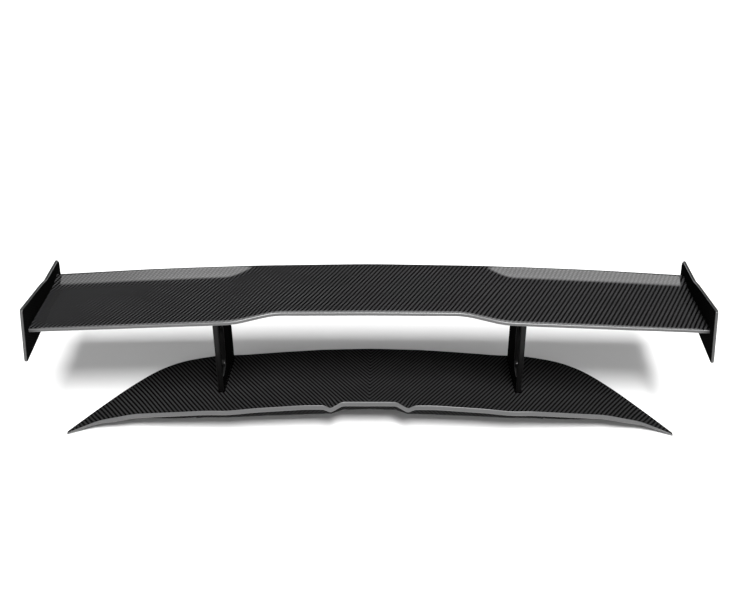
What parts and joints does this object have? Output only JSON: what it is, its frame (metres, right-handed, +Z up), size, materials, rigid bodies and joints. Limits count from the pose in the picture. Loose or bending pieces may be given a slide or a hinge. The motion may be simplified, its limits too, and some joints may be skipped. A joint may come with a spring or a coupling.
{
  "type": "racing rear wing",
  "caption": "Carbon-fibre rear wing with a raised middle and endplates, on plate uprights above a ducktail base; the wing's angle adjusts.",
  "frame": {"origin": "middle of the bottom of the part's box, where the base's outer edges rest on a flat floor", "axes": "+X to the car's right, along the span; +Y forward, from the trailing edge to the nose of the car; +Z up"},
  "size_m": [1.4, 0.4105, 0.3568],
  "materials": {
    "carbon": "clear-coated carbon fibre weave",
    "black_carbon": "clear-coated carbon fibre plate",
    "inner_carbon": "bare carbon fibre laminate",
    "aluminium": "black-grey anodised",
    "steel": "zinc-plated",
    "bronze": "turned",
    "rubber": "moulded",
    "block": "glass-filled nylon"
  },
  "bodies": {
    "base": {"base_top_skin": "carbon", "base_under_skin": "carbon", "mounting_tape_front": "rubber", "mounting_tape_rear": "rubber", "mount_block_left": "block", "mount_block_right": "block", "mounting_studs": "steel", "upright_gasket_left": "rubber", "upright_gasket_right": "rubber", "upright_left": "black_carbon", "upright_right": "black_carbon", "foot_screws": "steel", "pivot_bushes": "bronze", "clamp_bolts": "steel", "clamp_washers": "steel", "clamp_nuts": "steel"},
    "wing": {"wing_upper_skin": "carbon", "wing_lower_skin": "carbon", "front_spar": "inner_carbon", "rear_spar": "inner_carbon", "hard_point_left": "aluminium", "hard_point_right": "aluminium", "end_rib_left": "inner_carbon", "end_rib_right": "inner_carbon", "wing_bracket_left": "aluminium", "wing_bracket_right": "aluminium", "bracket_screws": "steel", "pivot_bolts": "steel", "pivot_washers": "steel", "pivot_nuts": "steel", "endplate_left": "black_carbon", "endplate_right": "black_carbon", "endplate_screws": "steel", "endplate_inserts": "bronze"}
  },
  "joints": [
    {"name": "angle_of_attack", "type": "hinge", "parent": "base", "child": "wing", "pos_m": [0, 0.0502, 0.256], "axis": [-1, 0, 0], "range_deg": [-3, 8]}
  ]
}
